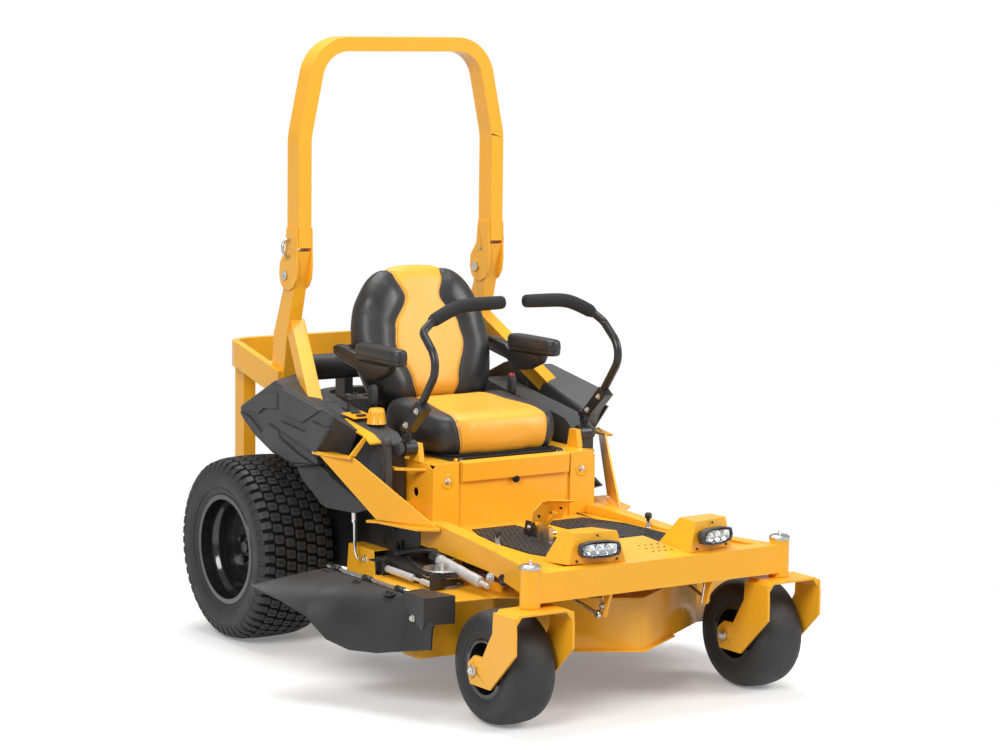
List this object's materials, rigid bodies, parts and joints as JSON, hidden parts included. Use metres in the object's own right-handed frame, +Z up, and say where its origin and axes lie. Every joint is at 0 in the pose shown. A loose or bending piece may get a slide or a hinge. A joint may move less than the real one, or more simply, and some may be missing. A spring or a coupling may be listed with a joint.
{
  "type": "riding lawn mower",
  "caption": "Zero-turn riding lawn mower: folding roll bar, twin lap levers, padded seat, foot platform, side-discharge deck and swivel casters.",
  "frame": {"origin": "middle of the footprint's bounding box, on the ground the tyres stand on", "axes": "+Z up, -Y the way the mower drives forwards, +X the mower's own left; the discharge chute is on the -X side"},
  "size_m": [1.4866, 1.9992, 1.912],
  "materials": {
    "tyre": "matte",
    "rim_steel": "gloss black",
    "yellow_paint": "gloss powder coat",
    "black_paint": "satin powder coat",
    "mat_rubber": "matte",
    "lamp_plastic": "clear lens in a grey housing",
    "zinc_steel": "zinc plated",
    "black_plastic": "fine grain",
    "grey_plastic": "charcoal, fine grain",
    "engine_metal": "as cast",
    "muffler_steel": "heat stained",
    "tank_plastic": "moulded",
    "cast_parts": "painted",
    "blade_steel": "ground edge",
    "chute_rubber": "matte",
    "roller_plastic": "matte",
    "belt_rubber": "matte",
    "seat_vinyl": "yellow and black vinyl",
    "arm_vinyl": "black vinyl",
    "knob_plastic": "smooth"
  },
  "bodies": {
    "chassis": {"frame": "yellow_paint", "seat_tower": "yellow_paint", "foot_platform": "yellow_paint", "foot_mats": "mat_rubber", "headlights": "lamp_plastic", "side_braces": "yellow_paint", "fenders": "grey_plastic", "consoles": "grey_plastic", "rops_posts": "yellow_paint", "rear_bumper": "yellow_paint", "fasteners": "zinc_steel", "engine_block": "engine_metal", "engine_shroud": "black_plastic", "air_cleaner": "black_plastic", "muffler": "muffler_steel", "fuel_tank": "tank_plastic", "hydro_drives": "engine_metal"},
    "rops": {"rops_hoop": "yellow_paint"},
    "lock_pin_l": {"lock_pin_left": "zinc_steel"},
    "lock_pin_r": {"lock_pin_right": "zinc_steel"},
    "rear_wheel_l": {"rear_tyre_left": "tyre", "rear_rim_left": "rim_steel"},
    "rear_wheel_r": {"rear_tyre_right": "tyre", "rear_rim_right": "rim_steel"},
    "caster_l": {"caster_fork_left": "yellow_paint"},
    "caster_r": {"caster_fork_right": "yellow_paint"},
    "caster_wheel_l": {"caster_tyre_left": "tyre", "caster_rim_left": "rim_steel"},
    "caster_wheel_r": {"caster_tyre_right": "tyre", "caster_rim_right": "rim_steel"},
    "deck": {"deck_shell": "yellow_paint", "spindle_housings": "cast_parts", "chute_bracket": "black_paint", "anti_scalp_rollers": "roller_plastic", "lift_hangers": "yellow_paint", "deck_belt": "belt_rubber"},
    "chute": {"discharge_chute": "chute_rubber"},
    "blade_l": {"blade_left": "blade_steel", "spindle_left": "zinc_steel"},
    "blade_c": {"blade_centre": "blade_steel", "spindle_centre": "zinc_steel"},
    "blade_r": {"blade_right": "blade_steel", "spindle_right": "zinc_steel"},
    "lift_rear": {"lift_shaft_rear": "black_paint"},
    "lift_front": {"lift_shaft_front": "black_paint"},
    "pedal": {"lift_pedal": "yellow_paint"},
    "clutch": {"clutch_pulley": "zinc_steel"},
    "pan": {"seat_pan": "black_paint"},
    "seat": {"seat_frame": "black_paint", "seat_cushion": "seat_vinyl", "seat_back": "seat_vinyl"},
    "arm_l": {"armrest_left": "arm_vinyl"},
    "arm_r": {"armrest_right": "arm_vinyl"},
    "hub_l": {"lever_hub_left": "black_paint"},
    "hub_r": {"lever_hub_right": "black_paint"},
    "lever_l": {"drive_lever_left": "black_paint"},
    "lever_r": {"drive_lever_right": "black_paint"},
    "knob": {"pto_knob": "knob_plastic"},
    "throttle": {"throttle_lever": "black_plastic"},
    "brake": {"brake_lever": "black_plastic"}
  },
  "joints": [
    {"name": "rear_wheel_left_spin", "type": "hinge", "parent": "chassis", "child": "rear_wheel_l", "pos_m": [0.61475, 0.549, 0.292], "axis": [1, 0, 0], "continuous": true},
    {"name": "caster_left_swivel", "type": "hinge", "parent": "chassis", "child": "caster_l", "pos_m": [0.56975, -0.923, 0.3], "axis": [0, 0, 1], "continuous": true},
    {"name": "caster_wheel_left_spin", "type": "hinge", "parent": "caster_l", "child": "caster_wheel_l", "pos_m": [0.56975, -0.803, 0.165], "axis": [1, 0, 0], "continuous": true},
    {"name": "lock_pin_left_pull", "type": "slide", "parent": "rops", "child": "lock_pin_l", "axis": [1, 0, 0], "range_m": [0, 0.075]},
    {"name": "armrest_left_flip", "type": "hinge", "parent": "seat", "child": "arm_l", "pos_m": [0.41075, 0.39059, 0.935], "axis": [-1, 0, 0], "range_deg": [0, 62]},
    {"name": "drive_lever_left_stroke", "type": "hinge", "parent": "chassis", "child": "hub_l", "pos_m": [0.45375, -0.091, 0.682], "axis": [1, 0, 0], "range_deg": [-12, 12]},
    {"name": "drive_lever_left_swing_out", "type": "hinge", "parent": "hub_l", "child": "lever_l", "pos_m": [0.45375, -0.091, 0.716], "axis": [0, 1, 0], "range_deg": [0, 35]},
    {"name": "rear_wheel_right_spin", "type": "hinge", "parent": "chassis", "child": "rear_wheel_r", "pos_m": [-0.36725, 0.549, 0.292], "axis": [1, 0, 0], "continuous": true},
    {"name": "caster_right_swivel", "type": "hinge", "parent": "chassis", "child": "caster_r", "pos_m": [-0.32225, -0.923, 0.3], "axis": [0, 0, 1], "continuous": true},
    {"name": "caster_wheel_right_spin", "type": "hinge", "parent": "caster_r", "child": "caster_wheel_r", "pos_m": [-0.32225, -0.803, 0.165], "axis": [1, 0, 0], "continuous": true},
    {"name": "lock_pin_right_pull", "type": "slide", "parent": "rops", "child": "lock_pin_r", "axis": [-1, 0, 0], "range_m": [0, 0.075]},
    {"name": "armrest_right_flip", "type": "hinge", "parent": "seat", "child": "arm_r", "pos_m": [-0.16325, 0.39059, 0.935], "axis": [-1, 0, 0], "range_deg": [0, 62]},
    {"name": "drive_lever_right_stroke", "type": "hinge", "parent": "chassis", "child": "hub_r", "pos_m": [-0.20625, -0.091, 0.682], "axis": [1, 0, 0], "range_deg": [-12, 12]},
    {"name": "drive_lever_right_swing_out", "type": "hinge", "parent": "hub_r", "child": "lever_r", "pos_m": [-0.20625, -0.091, 0.716], "axis": [0, -1, 0], "range_deg": [0, 35]},
    {"name": "roll_bar_fold", "type": "hinge", "parent": "chassis", "child": "rops", "pos_m": [0.12375, 0.541, 1.157], "axis": [-1, 0, 0], "range_deg": [0, 95]},
    {"name": "chute_lift", "type": "hinge", "parent": "deck", "child": "chute", "pos_m": [-0.47625, -0.321, 0.346], "axis": [0, 1, 0], "range_deg": [0, 75]},
    {"name": "deck_lower", "type": "slide", "parent": "chassis", "child": "deck", "axis": [0, 0, -1], "range_m": [0, 0.1], "deforming": ["deck_belt"]},
    {"name": "lift_front_turn", "type": "hinge", "parent": "chassis", "child": "lift_front", "pos_m": [0.12375, -0.751, 0.412], "axis": [-1, 0, 0], "range_deg": [0, 43.84]},
    {"name": "lift_rear_turn", "type": "hinge", "parent": "chassis", "child": "lift_rear", "pos_m": [0.12375, -0.111, 0.412], "axis": [1, 0, 0], "range_deg": [0, 43.84]},
    {"name": "lift_pedal_press", "type": "hinge", "parent": "chassis", "child": "pedal", "pos_m": [0.02375, -0.531, 0.47], "axis": [1, 0, 0], "range_deg": [0, 24]},
    {"name": "blade_left_spin", "type": "hinge", "parent": "deck", "child": "blade_l", "pos_m": [0.52175, -0.406, 0.25], "axis": [0, 0, 1], "continuous": true},
    {"name": "blade_centre_spin", "type": "hinge", "parent": "deck", "child": "blade_c", "pos_m": [0.12375, -0.597, 0.25], "axis": [0, 0, 1], "continuous": true},
    {"name": "blade_right_spin", "type": "hinge", "parent": "deck", "child": "blade_r", "pos_m": [-0.27425, -0.406, 0.25], "axis": [0, 0, 1], "continuous": true},
    {"name": "clutch_spin", "type": "hinge", "parent": "chassis", "child": "clutch", "pos_m": [0.12375, 0.679, 0.4], "axis": [0, 0, 1], "continuous": true},
    {"name": "seat_slide", "type": "slide", "parent": "pan", "child": "seat", "axis": [0, -1, 0], "range_m": [-0.04, 0.018]},
    {"name": "seat_tilt", "type": "hinge", "parent": "chassis", "child": "pan", "pos_m": [0.12375, -0.162, 0.643], "axis": [1, 0, 0], "range_deg": [0, 30]},
    {"name": "knob_pull", "type": "slide", "parent": "chassis", "child": "knob", "axis": [0, 0, 1], "range_m": [0, 0.012]},
    {"name": "throttle_turn", "type": "hinge", "parent": "chassis", "child": "throttle", "pos_m": [-0.22625, 0.219, 0.742], "axis": [1, 0, 0], "range_deg": [-18, 18]},
    {"name": "brake_turn", "type": "hinge", "parent": "chassis", "child": "brake", "pos_m": [-0.26825, -0.077, 0.5], "axis": [1, 0, 0], "range_deg": [0, 14]}
  ],
  "couplings": [
    {"joint": "lift_front_turn", "follows": "deck_lower", "rad_per_m": 7.6513},
    {"joint": "lift_rear_turn", "follows": "deck_lower", "rad_per_m": 7.6513},
    {"joint": "lift_pedal_press", "follows": "deck_lower", "rad_per_m": 4.1888},
    {"joint": "blade_left_spin", "follows": "blade_centre_spin", "ratio": 1},
    {"joint": "blade_right_spin", "follows": "blade_centre_spin", "ratio": 1},
    {"joint": "clutch_spin", "follows": "blade_centre_spin", "ratio": 1}
  ]
}
